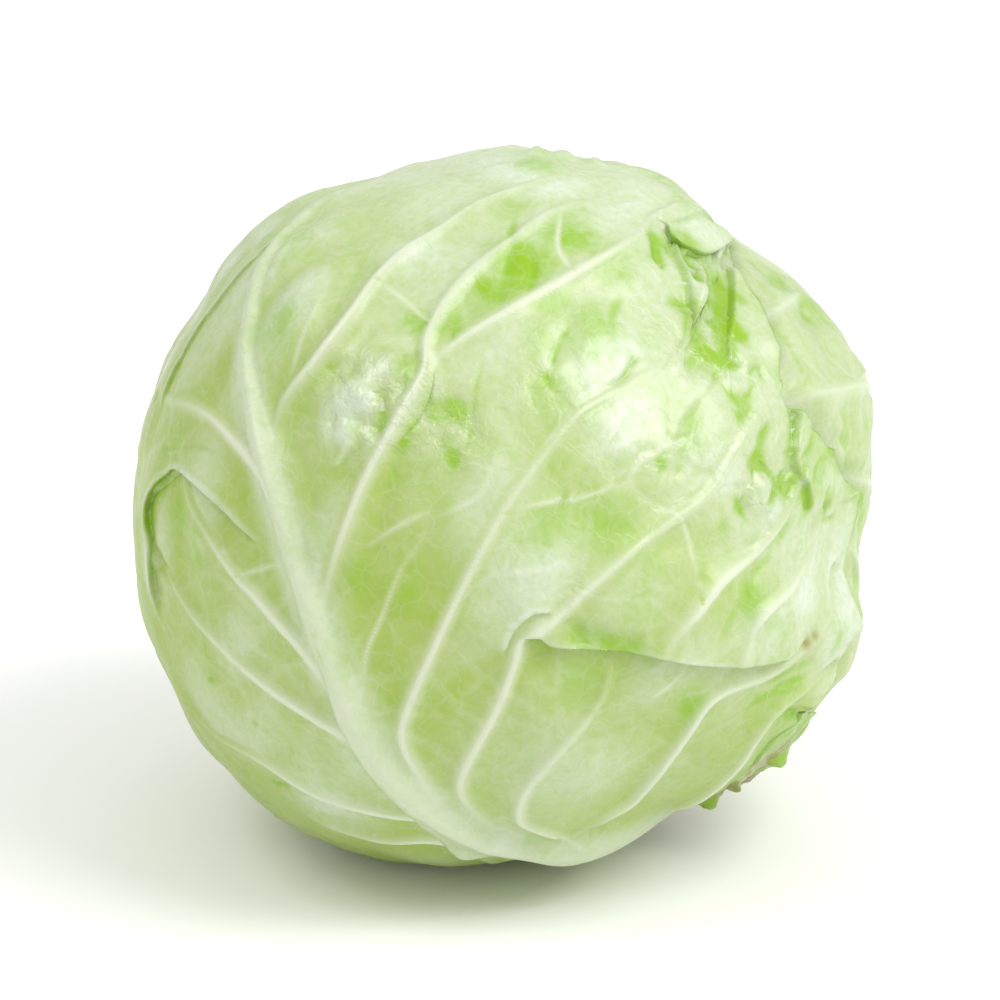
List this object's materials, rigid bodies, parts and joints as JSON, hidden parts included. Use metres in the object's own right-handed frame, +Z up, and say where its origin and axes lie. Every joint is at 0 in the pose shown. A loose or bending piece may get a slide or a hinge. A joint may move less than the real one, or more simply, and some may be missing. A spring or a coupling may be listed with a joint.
{
  "type": "cabbage head",
  "caption": "Round green cabbage head of ribbed wrapper leaves over a dense heart, resting on a small flat spot.",
  "frame": {"origin": "middle of the small flat spot that the head rests on", "axes": "+Z up, -Y towards the side that the picture shows, +X to that view's right; the stump points down and to the right"},
  "size_m": [0.1802, 0.1791, 0.1718],
  "materials": {
    "outer_leaf": "waxy leaf with a soft sheen and pale ribs",
    "under_leaf": "waxy leaf with a soft sheen and pale ribs",
    "torn_leaf": "yellowing leaf with dry brown tips",
    "heart_leaf": "pale yellow-green packed leaf",
    "cut_stump": "pale cut stalk, slightly dried"
  },
  "bodies": {
    "root": {"leaf_front": "outer_leaf", "leaf_left": "outer_leaf", "leaf_right": "under_leaf", "leaf_back": "under_leaf", "leaf_torn": "torn_leaf", "heart": "heart_leaf", "stem": "cut_stump"}
  },
  "joints": []
}
